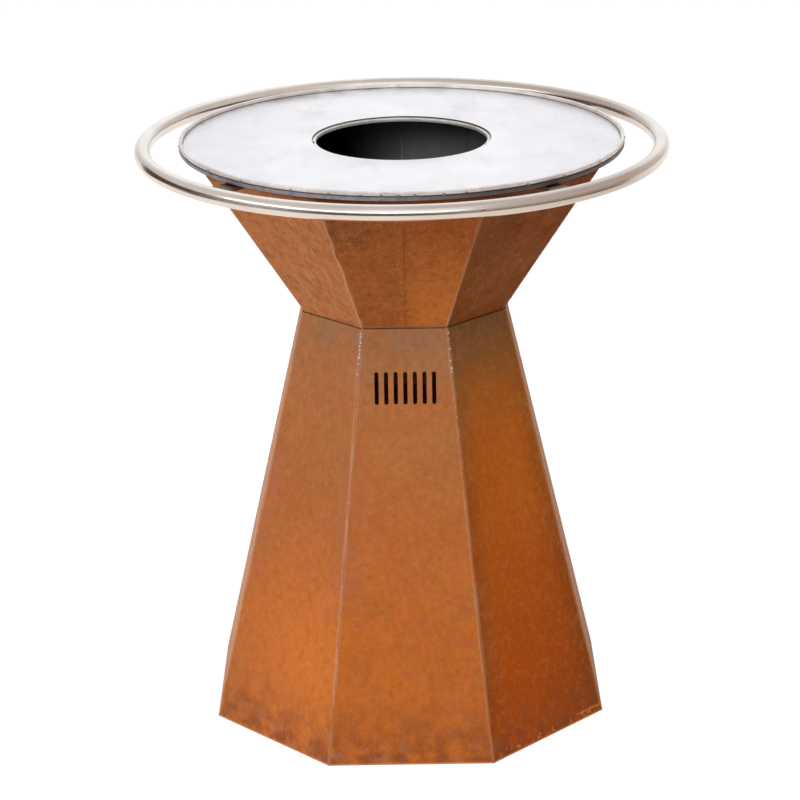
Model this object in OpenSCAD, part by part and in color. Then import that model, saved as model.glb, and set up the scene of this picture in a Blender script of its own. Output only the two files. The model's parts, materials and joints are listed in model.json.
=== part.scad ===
// Pyramid brazier grill: an octagonal fire bowl wedged in the mouth of an octagonal base,
// with a round griddle plate on the bowl's rim and a tube rail round it.
// Millimetres, +Z up, the origin on the floor under the middle of the base, -Y is the front.

/* [Base] */
// Height of the base from the floor to its mouth
base_h = 722; // [500:1:900]
// Width across the flats at the floor
foot_across = 676; // [560:2:800]
// Width across the flats at the mouth
mouth_across = 345; // [300:1:380]
// Thickness of the base panels
base_wall = 3; // [2:0.5:5]

/* [Base vent] */
// Number of upright vent slots in the front panel
vent_count = 7; // [1:1:9]
// Width of one vent slot
vent_w = 7; // [5:0.5:9]
// Length of one vent slot
vent_len = 54; // [20:1:90]
// Spacing of the vent slots
vent_pitch = 16; // [12:0.5:18]
// Distance from the base's mouth down to the middle of the vent
vent_drop = 97; // [50:1:300]

/* [Bowl] */
// Height of the bowl's rim above the base's mouth
bowl_rise = 275; // [200:1:340]
// Depth of the bowl below the base's mouth
bowl_sink = 125; // [100:1:150]
// Width across the flats at the bowl's rim
rim_across = 666; // [600:2:720]
// Thickness of the bowl's sheet
bowl_wall = 3; // [2:0.5:5]
// Thickness of the bowl's floor
floor_t = 3; // [2:0.5:6]
// Diameter of the air holes in the floor
air_hole_d = 18; // [10:1:24]
// Number of air holes round the middle one
air_hole_count = 8; // [4:1:8]
// Distance of the air holes from the middle
air_hole_r = 58; // [45:1:66]

/* [Welds] */
// Width of a seam weld
weld_w = 2; // [1:0.5:4]
// How far a seam weld stands proud of the sheet
weld_proud = 0.7; // [0.3:0.1:1.5]
// Radius of a tack weld's bead
tack_r = 2; // [1:0.1:3]
// Length of a tack weld's bead
tack_len = 8; // [4:1:14]
// Number of tacks round the griddle's edge
rim_tack_count = 30; // [14:1:40]
// Number of tacks round the central hole
hole_tack_count = 7; // [4:1:12]
// Height of the closing weld on the tube
ring_weld_proud = 0.6; // [0.3:0.1:1]
// Width of the closing weld on the tube
ring_weld_w = 4; // [2:0.5:8]
// Angle of the tube's closing weld
ring_weld_angle = -74; // [-80:1:-50]

/* [Griddle] */
// Diameter of the griddle plate
griddle_d = 750; // [680:2:800]
// Thickness of the griddle plate
griddle_t = 8; // [6:0.5:12]
// Diameter of the central hole
hole_d = 302; // [296:1:360]
// Width of the rim hoop's bar
rim_hoop_w = 6; // [4:0.5:10]
// Height of the rim hoop's bar
rim_hoop_h = 6; // [4:0.5:10]
// Width of the inner hoop's bar
inner_hoop_w = 6; // [4:0.5:8]
// Height of the inner hoop's bar
inner_hoop_h = 6; // [4:0.5:10]
// How far the inner hoop lies below the griddle's surface
inner_hoop_drop = 2.5; // [0.5:0.5:4]
// Width of a locating lug
lug_w = 30; // [15:1:50]
// Thickness of a locating lug
lug_t = 4; // [3:0.5:8]
// Height of a locating lug
lug_h = 18; // [10:1:30]
// Gap between a locating lug and the bowl's sheet
lug_gap = 2; // [1:0.5:5]

/* [Rail] */
// Clear gap between the griddle's edge and the rail
rail_gap = 48.1; // [35:0.1:80]
// Diameter of the rail's tube
tube_d = 26.9; // [20:0.1:34]
// Thickness of the tube's wall
tube_wall = 2; // [1.5:0.1:3]
// How far the tube's centre lies below the griddle's underside
rail_drop = 2; // [0:0.5:6]
// Width of an arm
arm_w = 30; // [25:1:45]
// Thickness of an arm
arm_t = 6; // [4:0.5:8]
// Angle by which the four arms are turned from the middle of the slanting panels
arm_turn = -3.8; // [-8:0.1:8]
// Length of an arm's turned-down end inside the bowl
hook_len = 26; // [15:1:40]
// Gap between the turned-down end and the bowl's sheet
hook_gap = 5; // [3:0.5:10]
// Depth of the notch that holds an arm
notch_depth = 12; // [11:0.5:16]
// Gap between an arm and each side of its notch
notch_side_gap = 1; // [0.5:0.25:3]

/* [Fire grate] */
// Diameter of the fire grate
grate_d = 280; // [240:1:300]
// Width of the grate's flat rim
grate_rim_w = 10; // [6:1:16]
// Height of the grate's flat rim
grate_rim_h = 6; // [4:0.5:10]
// Diameter of the grate's round bars
grate_bar_d = 8; // [5:0.5:12]
// Spacing of the round bars
grate_bar_pitch = 20; // [16:1:30]
// Width of a cross bar
cross_bar_w = 10; // [6:1:16]
// Distance of each cross bar from the middle
cross_bar_y = 60; // [40:1:80]

/* [Ash pan] */
// Gap between the ash pan and the bowl's sheet
ash_gap = 12; // [8:1:20]
// Height of the ash pan's tray
tray_h = 30; // [20:1:34]
// Thickness of the tray's sheet
tray_wall = 1.5; // [1:0.25:3]
// Height of the tray's feet
tray_foot_h = 8; // [4:1:10]
// Diameter of the tray's feet
tray_foot_d = 12; // [8:1:16]
// Width of the handle's strap
strap_w = 14; // [10:1:24]
// Thickness of the handle's strap
strap_t = 4; // [2:0.5:6]
// Radius of the bend at the handle's corners
strap_bend_r = 14; // [8:1:18]
// Gap between the handle and the fire grate above it
strap_gap = 9; // [6:0.5:20]

/* [Fits] */
// Clearance between pieces that lift apart
seat_gap = 0.35; // [0.3:0.05:0.6]

/* [Hidden] */
$fn = 96;

sides = 8;
turn = 360 / sides;
half_turn = turn / 2;
cut = 1;
// Angles of the rim's tacks on the near side, from the middle of the front
near_tacks = [-43, -28, -18, -10, -5, -1, 3, 10, 15.5, 32, 43.5, 59];
// Share of one spacing by which the tacks of the hole are turned from +X
tack_shift = 0.62;

corten = [0.65, 0.38, 0.20];
corten_dark = [0.42, 0.24, 0.13];
raw_steel = [0.30, 0.30, 0.31];
bright_steel = [0.84, 0.85, 0.87];
hoop_steel = [0.72, 0.68, 0.64];
stainless = [0.82, 0.80, 0.77];

// Slopes of the sheets, as sideways run for each millimetre of height
base_slope = (mouth_across - foot_across) / 2 / base_h;
base_wall_run = base_wall * sqrt(1 + base_slope * base_slope);
vent_z = base_h - vent_drop;
mouth_half = mouth_across / 2 - base_wall_run - seat_gap;
bowl_slope = (rim_across / 2 - mouth_half) / bowl_rise;
bowl_wall_run = bowl_wall * sqrt(1 + bowl_slope * bowl_slope);

bowl_bottom_z = base_h - bowl_sink;
rim_z = base_h + bowl_rise;
griddle_z = rim_z + seat_gap;
griddle_top_z = griddle_z + griddle_t;
floor_top_z = bowl_bottom_z + floor_t;

rail_r = griddle_d / 2 + rail_gap + tube_d / 2;
rail_z = griddle_z - rail_drop;
notch_z = rim_z - notch_depth;
arm_z = notch_z + seat_gap;
arm_end_r = bowl_inner(arm_z + arm_t - hook_len) - hook_gap - arm_t;

hole_clear_r = hole_d / 2 - inner_hoop_w;
inner_hoop_z = griddle_top_z - inner_hoop_drop - inner_hoop_h;
lug_r = bowl_inner(griddle_z - lug_h) - lug_gap - lug_t;

grate_r = grate_d / 2;
grate_z = base_h + (grate_r + seat_gap - bowl_inner(base_h)) / bowl_slope;
grate_in_r = grate_r - grate_rim_w;
grate_bar_z = grate_z + grate_rim_h + grate_bar_d / 2;
grate_bar_side = floor((grate_in_r + grate_rim_w / 2) / grate_bar_pitch);

tray_z = floor_top_z + seat_gap + tray_foot_h;
tray_top_z = tray_z + tray_h;
tray_foot_r = bowl_inner(tray_z) - ash_gap - tray_foot_d;
strap_half = bowl_inner(tray_z) - ash_gap - strap_t * 2;
strap_top_z = grate_z - strap_gap;

far = foot_across + 2 * rail_r;

// Half width across the flats of the base's outer faces at height z
function base_outer(z) = foot_across / 2 + base_slope * z;
// Half width across the flats of the bowl's outer faces at height z
function bowl_outer(z) = mouth_half + bowl_slope * (z - base_h);
// Half width across the flats of the bowl's inner faces at height z
function bowl_inner(z) = bowl_outer(z) - bowl_wall_run;
// Half width across the flats of the ash pan's outer faces at height z
function tray_outer(z) = bowl_inner(z) - ash_gap;

// A prism along Y with the given outline in the X-Z plane
module along_y(width) {
  rotate([90, 0, 0])
    linear_extrude(height = width, center = true)
      children();
}

// Solid octagonal frustum between two heights, from its half widths across the flats
module frustum(half_low, half_high, z_low, z_high) {
  intersection_for(i = [0 : sides / 2 - 1])
    rotate([0, 0, turn * i])
      along_y(far)
        polygon([
          [-half_low, z_low], [half_low, z_low],
          [half_high, z_high], [-half_high, z_high]
        ]);
}

// One eighth of the plan round +X, narrowed by half a seam weld on each side
module eighth(z_low, z_high) {
  apex = weld_w / 2 / sin(half_turn);
  spread = (far - apex) * tan(half_turn);
  translate([0, 0, z_low])
    linear_extrude(height = z_high - z_low)
      polygon([[apex, 0], [far, spread], [far, -spread]]);
}

// Sloping strip of weld in the plane of +X, as deep as the sheet and proud by the given height
module seam(out_low, out_high, depth, proud, z_low, z_high) {
  along_y(weld_w)
    polygon([
      [out_low - depth, z_low], [out_low + proud, z_low],
      [out_high + proud, z_high], [out_high - depth, z_high]
    ]);
}

// Upright slot with round ends, cut along X
module vent_slot() {
  straight = vent_len - vent_w;
  rotate([90, 0, 90])
    linear_extrude(height = far) {
      square([vent_w, straight], center = true);
      for (end = [-1, 1])
        translate([0, end * straight / 2])
          circle(d = vent_w);
    }
}

// Sloping flat panel that faces +X, from its half widths across the flats
module panel_blank(half_low, half_high, wall_run, z_low, z_high) {
  intersection() {
    along_y(far)
      polygon([
        [half_low, z_low], [half_high, z_high],
        [half_high - wall_run, z_high], [half_low - wall_run, z_low]
      ]);
    eighth(z_low - cut, z_high + cut);
  }
}

module base_blank() {
  panel_blank(base_outer(0), base_outer(base_h), base_wall_run, 0, base_h);
}

module base_panel(angle) {
  color(corten)
    rotate([0, 0, angle])
      base_blank();
}

module base_panel_front() {
  first = -(vent_count - 1) / 2;
  color(corten)
    rotate([0, 0, -90])
      difference() {
        base_blank();
        for (i = [0 : vent_count - 1])
          translate([0, (first + i) * vent_pitch, vent_z])
            vent_slot();
      }
}

module base_panel_front_right() { base_panel(-45); }
module base_panel_right() { base_panel(0); }
module base_panel_back_right() { base_panel(45); }
module base_panel_back() { base_panel(90); }
module base_panel_back_left() { base_panel(135); }
module base_panel_left() { base_panel(180); }
module base_panel_front_left() { base_panel(-135); }

module base_corner_welds() {
  corner = cos(half_turn);
  color(corten_dark)
    for (i = [0 : sides - 1])
      rotate([0, 0, half_turn + turn * i])
        seam(base_outer(0) / corner, base_outer(base_h) / corner,
          base_wall_run / corner, weld_proud, 0, base_h);
}

// The four arm angles, each measured from +X
arm_angles = [for (i = [0 : 3]) 45 + arm_turn + 90 * i];

module bowl_blank() {
  panel_blank(bowl_outer(bowl_bottom_z), bowl_outer(rim_z), bowl_wall_run,
    bowl_bottom_z, rim_z);
}

module bowl_panel(angle) {
  color(corten)
    rotate([0, 0, angle])
      bowl_blank();
}

// Bowl panel with the notch in its rim for the arm at arm_at
module notched_panel(angle, arm_at) {
  color(corten)
    difference() {
      rotate([0, 0, angle])
        bowl_blank();
      rotate([0, 0, arm_at])
        translate([arm_end_r - arm_t, -arm_w / 2 - notch_side_gap, notch_z])
          cube([far, arm_w + 2 * notch_side_gap, notch_depth + cut]);
    }
}

// Half of the bowl panel at that angle, on the +Y side before it is turned when side is 1
module half_panel(angle, side) {
  color(corten)
    rotate([0, 0, angle])
      intersection() {
        bowl_blank();
        translate([0, side > 0 ? weld_w / 2 : -far - weld_w / 2, 0])
          cube([far, far, rim_z + cut]);
      }
}

module bowl_front_half_left() { half_panel(-90, -1); }
module bowl_front_half_right() { half_panel(-90, 1); }
module bowl_back_half_left() { half_panel(90, 1); }
module bowl_back_half_right() { half_panel(90, -1); }
module bowl_panel_left() { bowl_panel(180); }
module bowl_panel_right() { bowl_panel(0); }
module bowl_panel_front_left() { notched_panel(-135, arm_angles[2]); }
module bowl_panel_front_right() { notched_panel(-45, arm_angles[3]); }
module bowl_panel_back_left() { notched_panel(135, arm_angles[1]); }
module bowl_panel_back_right() { notched_panel(45, arm_angles[0]); }

// Weld down the bowl in the plane of +X, at a corner or in the middle of a panel; stretch is the
// plan's reach there over its half width. It is ground flush where the bowl goes into the base
module bowl_weld(stretch) {
  proud_z = base_h + seat_gap;
  depth = bowl_wall_run * stretch;
  seam(bowl_outer(bowl_bottom_z) * stretch, bowl_outer(proud_z) * stretch, depth, 0,
    bowl_bottom_z, proud_z);
  seam(bowl_outer(proud_z) * stretch, bowl_outer(rim_z) * stretch, depth, weld_proud,
    proud_z, rim_z);
}

module bowl_corner_welds() {
  color(corten_dark)
    for (i = [0 : sides - 1])
      rotate([0, 0, half_turn + turn * i])
        bowl_weld(1 / cos(half_turn));
}

module bowl_seam_welds() {
  color(corten_dark)
    for (angle = [-90, 90])
      rotate([0, 0, angle])
        bowl_weld(1);
}

module bowl_floor() {
  color(raw_steel)
    difference() {
      frustum(bowl_inner(bowl_bottom_z), bowl_inner(floor_top_z), bowl_bottom_z, floor_top_z);
      translate([0, 0, bowl_bottom_z - cut]) {
        cylinder(d = air_hole_d, h = floor_t + 2 * cut);
        for (i = [0 : air_hole_count - 1])
          rotate([0, 0, 360 / air_hole_count * i])
            translate([air_hole_r, 0, 0])
              cylinder(d = air_hole_d, h = floor_t + 2 * cut);
      }
    }
}

module ash_pan_tray() {
  inner_z = tray_z + tray_wall;
  wall_run = tray_wall * sqrt(1 + bowl_slope * bowl_slope);
  color(raw_steel)
    difference() {
      frustum(tray_outer(tray_z), tray_outer(tray_top_z), tray_z, tray_top_z);
      frustum(tray_outer(inner_z) - wall_run, tray_outer(tray_top_z + cut) - wall_run,
        inner_z, tray_top_z + cut);
    }
}

module ash_pan_feet() {
  color(raw_steel)
    for (angle = [half_turn : 90 : 360])
      rotate([0, 0, angle])
        translate([tray_foot_r, 0, floor_top_z + seat_gap])
          cylinder(d = tray_foot_d, h = tray_foot_h);
}

// Flat arch with rounded upper corners, its feet on the X axis
module arch(half_w, height, corner_r) {
  translate([-half_w, 0])
    square([2 * half_w, height - corner_r]);
  translate([corner_r - half_w, 0])
    square([2 * (half_w - corner_r), height]);
  for (side = [-1, 1])
    translate([side * (half_w - corner_r), height - corner_r])
      circle(r = corner_r);
}

module ash_pan_handle() {
  foot_z = tray_z + tray_wall;
  height = strap_top_z - foot_z;
  color(raw_steel)
    translate([0, 0, foot_z])
      along_y(strap_w)
        difference() {
          arch(strap_half, height, strap_bend_r);
          translate([0, -cut])
            arch(strap_half - strap_t, height - strap_t + cut, strap_bend_r - strap_t);
        }
}

module fire_grate_rim() {
  color(raw_steel)
    rotate_extrude()
      translate([grate_in_r, grate_z])
        square([grate_rim_w, grate_rim_h]);
}

module fire_grate_cross_bars() {
  color(raw_steel)
    for (side = [-1, 1])
      intersection() {
        translate([-grate_r, side * cross_bar_y - cross_bar_w / 2, grate_z])
          cube([grate_d, cross_bar_w, grate_rim_h]);
        cylinder(r = grate_in_r, h = grate_z + grate_rim_h + cut);
      }
}

module fire_grate_bars() {
  reach = grate_r - grate_rim_w / 4;
  color(raw_steel)
    for (i = [-grate_bar_side : grate_bar_side])
      let (x = i * grate_bar_pitch, half_len = sqrt(reach * reach - x * x))
        translate([x, half_len, grate_bar_z])
          rotate([90, 0, 0])
            cylinder(d = grate_bar_d, h = 2 * half_len);
}

module rail_tube() {
  color(stainless)
    rotate_extrude()
      translate([rail_r, rail_z])
        difference() {
          circle(d = tube_d);
          circle(d = tube_d - 2 * tube_wall);
        }
}

module rail_closing_weld() {
  sweep = ring_weld_w / rail_r * 180 / PI;
  color(stainless)
    rotate([0, 0, ring_weld_angle - sweep / 2])
      rotate_extrude(angle = sweep)
        translate([rail_r, rail_z])
          difference() {
            circle(d = tube_d + 2 * ring_weld_proud);
            circle(d = tube_d);
          }
}

// Flat arm that lies in its notch, with its inner end turned down inside the bowl
module rail_arm(angle) {
  color(raw_steel)
    rotate([0, 0, angle])
      difference() {
        union() {
          translate([arm_end_r, -arm_w / 2, arm_z])
            cube([rail_r - arm_end_r, arm_w, arm_t]);
          translate([arm_end_r, -arm_w / 2, arm_z + arm_t - hook_len])
            cube([arm_t, arm_w, hook_len]);
        }
        rotate_extrude()
          translate([rail_r, rail_z])
            circle(d = tube_d);
      }
}

module rail_arm_front_left() { rail_arm(arm_angles[2]); }
module rail_arm_front_right() { rail_arm(arm_angles[3]); }
module rail_arm_back_left() { rail_arm(arm_angles[1]); }
module rail_arm_back_right() { rail_arm(arm_angles[0]); }

module griddle_plate() {
  color(bright_steel)
    difference() {
      translate([0, 0, griddle_z])
        cylinder(d = griddle_d, h = griddle_t, $fn = 180);
      translate([0, 0, griddle_z - cut])
        cylinder(d = hole_d, h = griddle_t + 2 * cut);
    }
}

module griddle_rim_hoop() {
  color(hoop_steel)
    rotate_extrude($fn = 180)
      translate([griddle_d / 2 - rim_hoop_w, griddle_top_z])
        square([rim_hoop_w, rim_hoop_h]);
}

module griddle_inner_hoop() {
  color(hoop_steel)
    rotate_extrude()
      translate([hole_clear_r, inner_hoop_z])
        square([inner_hoop_w, inner_hoop_h]);
}

module griddle_locating_lugs() {
  color(raw_steel)
    for (angle = [0 : 90 : 270])
      rotate([0, 0, angle])
        translate([lug_r, -lug_w / 2, griddle_z - lug_h])
          cube([lug_t, lug_w, lug_h]);
}

// Short weld beads at the given angles from +X
module tacks(angles, radius) {
  sweep = tack_len / radius * 180 / PI;
  color(raw_steel)
    for (angle = angles)
      rotate([0, 0, angle - sweep / 2])
        rotate_extrude(angle = sweep)
          children();
}

// Beads on the outside of the griddle's edge, where the rim hoop meets the plate
module rim_tack_welds() {
  last = near_tacks[len(near_tacks) - 1];
  more = rim_tack_count - len(near_tacks);
  step = (360 + near_tacks[0] - last) / (more + 1);
  near = [for (angle = near_tacks) angle - 90];
  others = [for (i = [1 : more]) last - 90 + i * step];
  tacks(concat(near, others), griddle_d / 2)
    translate([griddle_d / 2, griddle_top_z])
      intersection() {
        circle(r = tack_r);
        translate([0, -tack_r])
          square([tack_r, 2 * tack_r]);
      }
}

// Beads on top of the inner hoop, against the wall of the central hole
module inner_tack_welds() {
  bead_r = min(tack_r, inner_hoop_drop);
  angles = [for (i = [0 : hole_tack_count - 1]) 360 / hole_tack_count * (i + tack_shift)];
  tacks(angles, hole_d / 2)
    translate([hole_d / 2, griddle_top_z - inner_hoop_drop])
      intersection() {
        circle(r = bead_r);
        translate([-bead_r, 0])
          square(bead_r);
      }
}

base_panel_front();
base_panel_front_right();
base_panel_right();
base_panel_back_right();
base_panel_back();
base_panel_back_left();
base_panel_left();
base_panel_front_left();
base_corner_welds();
bowl_front_half_left();
bowl_front_half_right();
bowl_panel_front_right();
bowl_panel_right();
bowl_panel_back_right();
bowl_back_half_left();
bowl_back_half_right();
bowl_panel_back_left();
bowl_panel_left();
bowl_panel_front_left();
bowl_corner_welds();
bowl_seam_welds();
bowl_floor();
ash_pan_tray();
ash_pan_feet();
ash_pan_handle();
fire_grate_rim();
fire_grate_cross_bars();
fire_grate_bars();
rail_tube();
rail_closing_weld();
rail_arm_front_left();
rail_arm_front_right();
rail_arm_back_left();
rail_arm_back_right();
griddle_plate();
griddle_rim_hoop();
griddle_inner_hoop();
griddle_locating_lugs();
rim_tack_welds();
inner_tack_welds();
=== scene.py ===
# %% [markdown]
# A pyramid brazier grill, dressed for a studio picture.
#
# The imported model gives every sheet, ring and joint of the grill in metres. This script
# keeps those solids where they are and adds what a CAD program leaves out: the rust skin of
# weathering steel, ground and polished steel, rounded bar, and weld beads that look laid
# by hand. Loading comes first, because every later size is read from the model.

import json
import math
import random

import bmesh
import bpy
from mathutils import Matrix, Vector, noise


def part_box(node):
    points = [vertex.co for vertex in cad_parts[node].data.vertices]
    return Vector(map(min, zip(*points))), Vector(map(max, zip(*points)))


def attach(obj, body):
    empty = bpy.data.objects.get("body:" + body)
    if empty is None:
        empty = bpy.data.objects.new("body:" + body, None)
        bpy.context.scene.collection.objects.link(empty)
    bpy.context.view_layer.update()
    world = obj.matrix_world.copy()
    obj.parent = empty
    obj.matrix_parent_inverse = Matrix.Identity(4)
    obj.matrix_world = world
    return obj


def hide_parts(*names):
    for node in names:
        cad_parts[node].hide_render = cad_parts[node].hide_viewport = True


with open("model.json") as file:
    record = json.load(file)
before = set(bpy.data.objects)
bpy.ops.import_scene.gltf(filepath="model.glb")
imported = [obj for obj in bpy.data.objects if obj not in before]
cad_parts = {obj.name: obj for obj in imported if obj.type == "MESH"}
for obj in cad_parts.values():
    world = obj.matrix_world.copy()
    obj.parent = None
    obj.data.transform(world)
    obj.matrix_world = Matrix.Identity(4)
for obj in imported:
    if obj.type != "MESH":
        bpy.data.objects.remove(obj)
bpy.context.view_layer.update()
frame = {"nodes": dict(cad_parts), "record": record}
scene = bpy.context.scene
MM = 0.001

# %% [markdown]
# The octagons are easiest to follow by their half width across the flats. It changes evenly
# with height, so two readings on the panel that faces +X describe a whole pyramid. The
# rings are read from the boxes of their solids, because a box round a ring holds its radius.

# %% Read the main sizes from the model
def flat_line(node):
    """Half width at height 0 and its change per metre, of the outer face of a +X panel."""
    low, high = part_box(node)
    points = [v.co for v in frame["nodes"][node].data.vertices]
    foot = max(p.x for p in points if p.z < low.z + MM / 10)
    top = max(p.x for p in points if p.z > high.z - MM / 10)
    slope = (top - foot) / (high.z - low.z)
    return foot - slope * low.z, slope


base_foot, base_slope = flat_line("base_panel_right")
bowl_foot, bowl_slope = flat_line("bowl_panel_right")
base_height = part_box("base_panel_right")[1].z
bowl_low, bowl_high = (corner.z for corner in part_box("bowl_panel_right"))
plate_low, plate_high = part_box("griddle_plate")
rim_low, rim_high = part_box("griddle_rim_hoop")
hole_low, hole_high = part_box("griddle_inner_hoop")
tube_low, tube_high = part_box("rail_tube")
TUBE_R = (tube_high.z - tube_low.z) / 2
RAIL_R = tube_high.x - TUBE_R
RAIL_Z = tube_low.z + TUBE_R
HALF_FACE = math.pi / 8
CORNER = 1 / math.cos(HALF_FACE)
print("plate radius", plate_high.x, "rail radius", RAIL_R, "base height", base_height)

# %% [markdown]
# The camera stands where the picture was taken: four and a half metres in front of the
# grill, above head height and looking down by about twenty degrees. Its place, lens and
# small tilt were worked out from the corners and rings of the grill. A long lens keeps the
# sides of the base nearly straight.

# %% Camera
CAMERA_SPOT = (0.0024, -4.4565, 2.1245)
LENS_MM = 122.06
SENSOR_MM = 36
# In degrees: to the left, down, and clockwise about the line of sight
TURN, LOOK_DOWN, TILT = 0.157, 19.629, 0.938
camera_data = bpy.data.cameras.new("camera")
camera_data.sensor_width = SENSOR_MM
camera_data.lens = LENS_MM
camera = bpy.data.objects.new("camera", camera_data)
scene.collection.objects.link(camera)
camera.matrix_world = (Matrix.Translation(CAMERA_SPOT)
    @ Matrix.Rotation(math.radians(TURN), 4, "Z")
    @ Matrix.Rotation(math.radians(90 - LOOK_DOWN), 4, "X")
    @ Matrix.Rotation(math.radians(-TILT), 4, "Z"))
scene.camera = camera
print("camera distance", round(camera.location.length, 3))

# %% [markdown]
# Colours are picked from a colour chart, where they are written as sRGB hex codes. Blender
# mixes light in linear values, so one function turns a code into those. Materials are built
# from many nodes, and one more function adds a node with its settings and its links. A mask
# is a number from 0 to 1 at every point, and its socket knows the tree it belongs to. A list
# of masked colours is laid over a ground colour, one by one, as a painter would glaze.

# %% Helpers for colours and nodes
def linear(code):
    """An sRGB hex code such as #C06A35 as linear red, green, blue and alpha."""
    parts = [int(code[i : i + 2], 16) / 255 for i in (1, 3, 5)]
    return [c / 12.92 if c <= 0.04045 else ((c + 0.055) / 1.055) ** 2.4 for c in parts] + [1]


def set_inputs(node, inputs):
    """Gives each input of a node a value, or a socket that it is linked to."""
    for key, value in inputs.items():
        if isinstance(value, bpy.types.NodeSocket):
            node.id_data.links.new(value, node.inputs[key])
        else:
            node.inputs[key].default_value = value


def add_node(tree, kind, inputs=None, **settings):
    """Adds a node with its settings and its inputs."""
    node = tree.nodes.new("ShaderNode" + kind)
    for name, value in settings.items():
        setattr(node, name, value)
    set_inputs(node, inputs or {})
    return node


def product(mask, *others):
    """A mask multiplied by other masks or by numbers."""
    for other in others:
        times = add_node(mask.id_data, "Math", {0: mask, 1: other}, operation="MULTIPLY")
        mask = times.outputs[0]
    return mask


def band(value, start, end):
    """A mask that goes from 0 at start to 1 at end of a value."""
    return add_node(value.id_data, "MapRange", {"Value": value, "From Min": start,
        "From Max": end}).outputs[0]


def spread(mask, least, most):
    """A value that goes from least where a mask is 0 to most where it is 1."""
    return add_node(mask.id_data, "MapRange", {"Value": mask, "To Min": least,
        "To Max": most}).outputs[0]


def lay_over(ground, layers):
    """A ground colour under layers, each (hex code, share, mask, more masks)."""
    colour = linear(ground)
    for code, share, *masks in layers:
        colour = add_node(masks[0].id_data, "Mix", {0: product(*masks, share), 6: colour,
            7: linear(code)}, data_type="RGBA").outputs[2]
    return colour


print("weathered orange in linear values:", [round(c, 3) for c in linear("#C06A35")])

# %% [markdown]
# The studio is plain and pale. What the camera, a mirror or polished steel sees of it is
# white, while the light that falls on the grill stays at a plain level, so that a colour
# renders about as it is written. Light Path tells the two apart. Polished tube shows what
# surrounds it, so its reflections get a little more than plain white: a beige sky overhead,
# as under an awning, and pale walls at the left and the right.

# %% World
world = bpy.data.worlds.new("studio")
scene.world = world
world.use_nodes = True
tree = world.node_tree
tree.nodes.clear()


def seen_ray(tree):
    """1 for a ray from the camera, from a reflection or through glass, and 0 for diffuse light."""
    path = add_node(tree, "LightPath")
    shown = add_node(tree, "Math", {0: path.outputs["Is Camera Ray"],
        1: path.outputs["Is Glossy Ray"]}, operation="MAXIMUM")
    return add_node(tree, "Math", {0: shown.outputs[0],
        1: path.outputs["Is Transmission Ray"]}, operation="MAXIMUM").outputs[0]


AMBIENT = 0.48
WHITE = (1, 1, 1, 1)
way = add_node(tree, "TexCoord").outputs["Generated"]
# How far a ray goes to the right and up, where 1 is straight that way
rightward, _, upward = add_node(tree, "SeparateXYZ", {0: way}).outputs
path = add_node(tree, "LightPath")
overhead = band(upward, 0.74, 0.93)
left_side = band(rightward, -0.16, -0.50)
right_side = band(rightward, 0.25, 0.60)
sky = lay_over("#FFFFFF", [
    ("#D2C8C4", 1, left_side),
    ("#CFC3BA", 1, right_side),
    ("#CFC7BF", 1, overhead),
])
shown = add_node(tree, "Mix", {0: path.outputs["Is Glossy Ray"], 6: WHITE, 7: sky},
    data_type="RGBA")
white = add_node(tree, "Background", {"Color": shown.outputs[2], "Strength": 1})
soft = add_node(tree, "Background", {"Color": linear("#F2F6FF"), "Strength": AMBIENT})
mix = add_node(tree, "MixShader", {0: seen_ray(tree), 1: soft.outputs[0], 2: white.outputs[0]})
add_node(tree, "OutputWorld", {"Surface": mix.outputs[0]})
scene.view_settings.view_transform = "Standard"
print("world strength on the grill", AMBIENT)

# %% [markdown]
# The floor is a wide sheet. To the camera it glows almost white and takes a little light on
# top, so the grill's soft shadow stays on it. Diffuse light sees a mid grey floor instead,
# as a paved patio would be, which keeps the underside of the bowl as dark as it should be.
# Reflections see a pale warm paving near the grill, dark lawn beyond it, and white behind.
# The base has no bottom, so the floor inside its foot does not glow.

# %% Floor
def empty_material(name):
    """A material and its node tree, which is empty."""
    material = bpy.data.materials.new(name)
    material.use_nodes = True
    material.node_tree.nodes.clear()
    return material, material.node_tree


def as_object(mesh, name, material):
    """Turns a bmesh into an object of the scene, in one material."""
    data = bpy.data.meshes.new(name)
    mesh.to_mesh(data)
    mesh.free()
    data.materials.append(material)
    piece = bpy.data.objects.new(name, data)
    scene.collection.objects.link(piece)
    return piece


paving, tree = empty_material("pale_floor")
place = add_node(tree, "TexCoord").outputs["Object"]
reach = add_node(tree, "VectorMath", {0: place}, operation="LENGTH").outputs["Value"]
open_floor = band(reach, base_foot - 0.04, base_foot - 0.01)
glow = add_node(tree, "Emission", {"Color": WHITE, "Strength": product(open_floor, 0.88)})
catch = add_node(tree, "BsdfDiffuse", {"Color": linear("#8C8C8C")})
shown = add_node(tree, "AddShader", {0: glow.outputs[0], 1: catch.outputs[0]})
bounce = add_node(tree, "BsdfDiffuse", {"Color": linear("#A09C98")})
across, depth, _ = add_node(tree, "SeparateXYZ", {0: place}).outputs
aside = add_node(tree, "Math", {0: across}, operation="ABSOLUTE").outputs[0]
mirrored = lay_over("#5A4638", [
    ("#2E2016", 1, band(aside, 0.4, 1.8)),
    ("#F8F5F2", 1, band(depth, 0.2, 1.2)),
    ("#F7ECE2", 1, band(reach, 3.0, 2.4)),
])
garden = add_node(tree, "Emission", {"Color": mirrored})
path = add_node(tree, "LightPath")
mix = add_node(tree, "MixShader", {0: seen_ray(tree), 1: bounce.outputs[0], 2: shown.outputs[0]})
last = add_node(tree, "MixShader", {0: path.outputs["Is Glossy Ray"], 1: mix.outputs[0],
    2: garden.outputs[0]})
add_node(tree, "OutputMaterial", {"Surface": last.outputs[0]})
FLOOR_HALF = 30
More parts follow.
